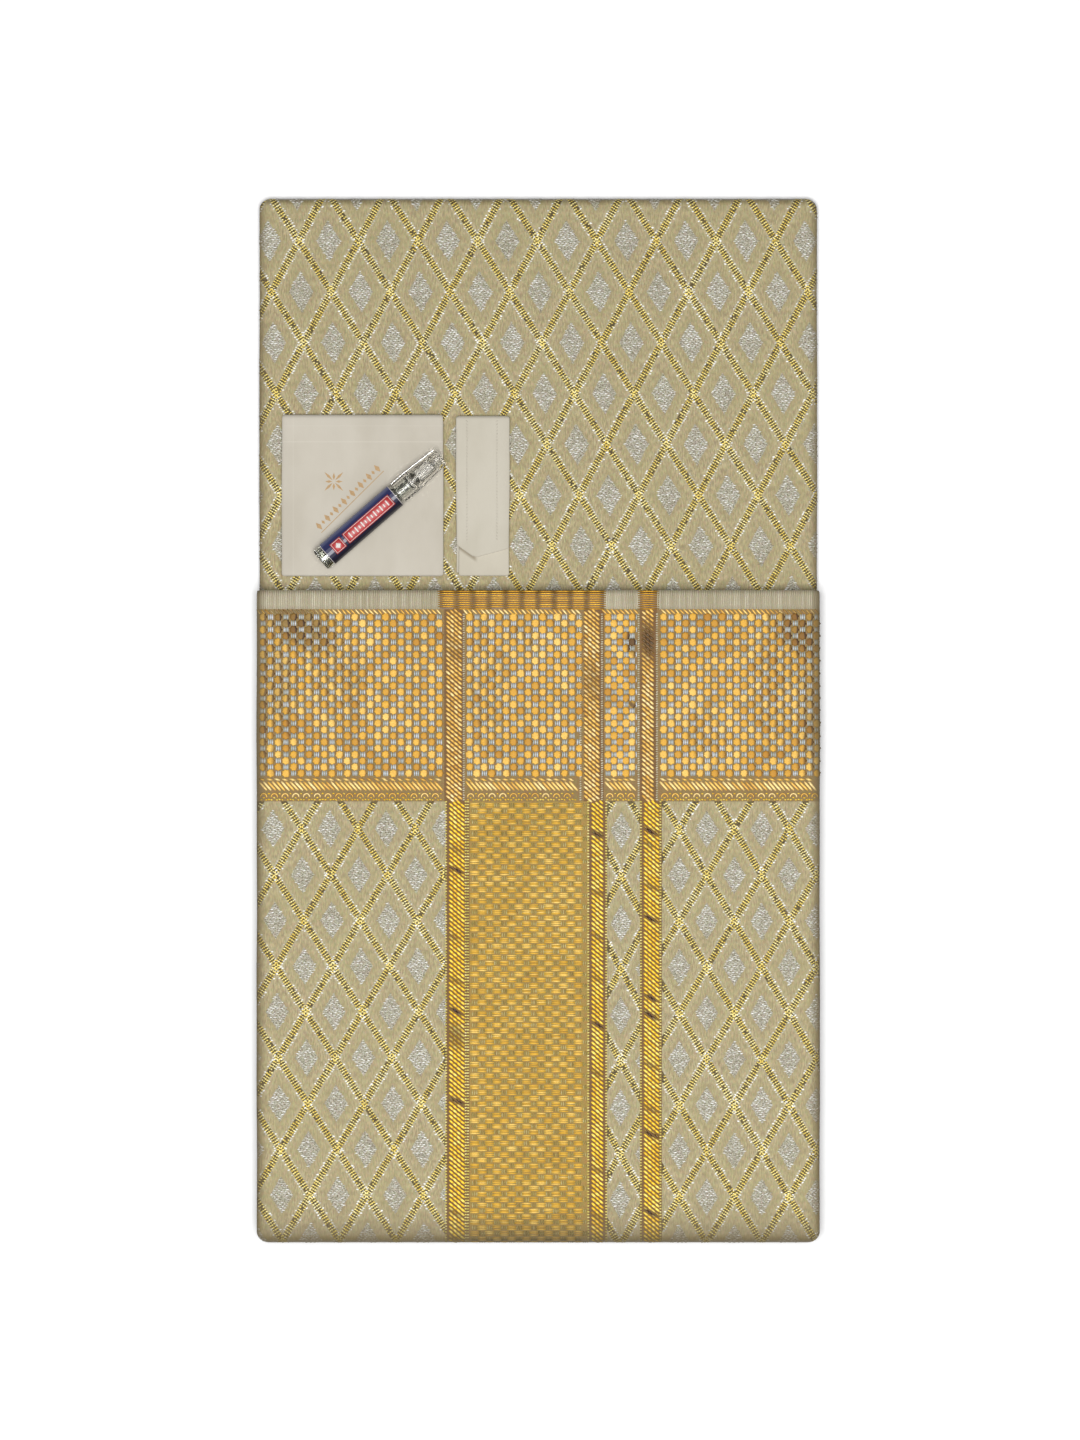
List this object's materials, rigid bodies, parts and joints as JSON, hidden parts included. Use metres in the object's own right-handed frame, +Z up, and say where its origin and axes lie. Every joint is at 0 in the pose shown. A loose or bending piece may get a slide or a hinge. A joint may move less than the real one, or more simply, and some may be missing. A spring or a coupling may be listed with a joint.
{
  "type": "folded ceremonial vestment set",
  "caption": "Folded brocade vestment cloths with woven gold borders, with a folded kerchief, a pointed sash and a small perfume sprayer lying on top.",
  "frame": {"origin": "centre of the footprint, on the surface that the set lies on", "axes": "+Y from the front cloth's fold to the back cloth's far fold, +X across the cloths, +Z up out of the pile"},
  "size_m": [0.32, 0.5948, 0.0275],
  "materials": {
    "lattice_brocade": "satin",
    "bordered_brocade": "satin",
    "card": "matte",
    "kerchief_cloth": "satin",
    "sash_cloth": "satin",
    "vial_glass": "polished",
    "label_film": "gloss",
    "perfume": "polished",
    "clear_plastic": "gloss",
    "gasket_rubber": "matte",
    "white_plastic": "satin",
    "spring_steel": "satin"
  },
  "bodies": {
    "back_cloth": {"back_cloth_underside": "lattice_brocade", "back_cloth_face": "lattice_brocade"},
    "card": {"back_card": "card"},
    "front_cloth": {"front_cloth_stack": "bordered_brocade"},
    "front_leaf": {"front_cloth_leaf": "bordered_brocade"},
    "kerchief": {"kerchief": "kerchief_cloth"},
    "sash": {"sash_stack": "sash_cloth"},
    "sash_leaf": {"sash_leaf": "sash_cloth"},
    "vial": {"vial_glass": "vial_glass", "vial_label": "label_film", "vial_perfume": "perfume", "vial_dip_tube": "clear_plastic", "vial_gasket": "gasket_rubber", "vial_pump_body": "white_plastic", "vial_pump_spring": "spring_steel", "vial_collar": "clear_plastic"},
    "vial_button": {"vial_pump_stem": "white_plastic", "vial_button": "white_plastic", "vial_nozzle": "white_plastic"},
    "vial_cap": {"vial_cap": "clear_plastic"}
  },
  "joints": [
    {"name": "card_pull", "type": "slide", "parent": "back_cloth", "child": "card", "axis": [0, -1, 0], "range_m": [0, 0.6]},
    {"name": "front_cloth_lift", "type": "slide", "parent": "back_cloth", "child": "front_cloth", "axis": [0, 0, 1], "range_m": [0, 0.08]},
    {"name": "front_leaf_open", "type": "hinge", "parent": "front_cloth", "child": "front_leaf", "pos_m": [0, -0.2974, 0.01475], "axis": [1, 0, 0], "range_deg": [0, 180]},
    {"name": "kerchief_lift", "type": "slide", "parent": "back_cloth", "child": "kerchief", "axis": [0, 0, 1], "range_m": [0, 0.08]},
    {"name": "sash_lift", "type": "slide", "parent": "back_cloth", "child": "sash", "axis": [0, 0, 1], "range_m": [0, 0.06]},
    {"name": "sash_leaf_open", "type": "hinge", "parent": "sash", "child": "sash_leaf", "pos_m": [-0.0316, 0.1734, 0.0109], "axis": [-1, 0, 0], "range_deg": [0, 180]},
    {"name": "vial_lift", "type": "slide", "parent": "kerchief", "child": "vial", "axis": [0, 0, 1], "range_m": [0, 0.06]},
    {"name": "button_press", "type": "slide", "parent": "vial", "child": "vial_button", "axis": [-0.7541, -0.6567, 0], "range_m": [0, 0.0022], "stiffness_N_per_m": 400, "deforming": ["vial_pump_spring"]},
    {"name": "cap_pull", "type": "slide", "parent": "vial", "child": "vial_cap", "axis": [0.7541, 0.6567, 0], "range_m": [0, 0.03]}
  ]
}
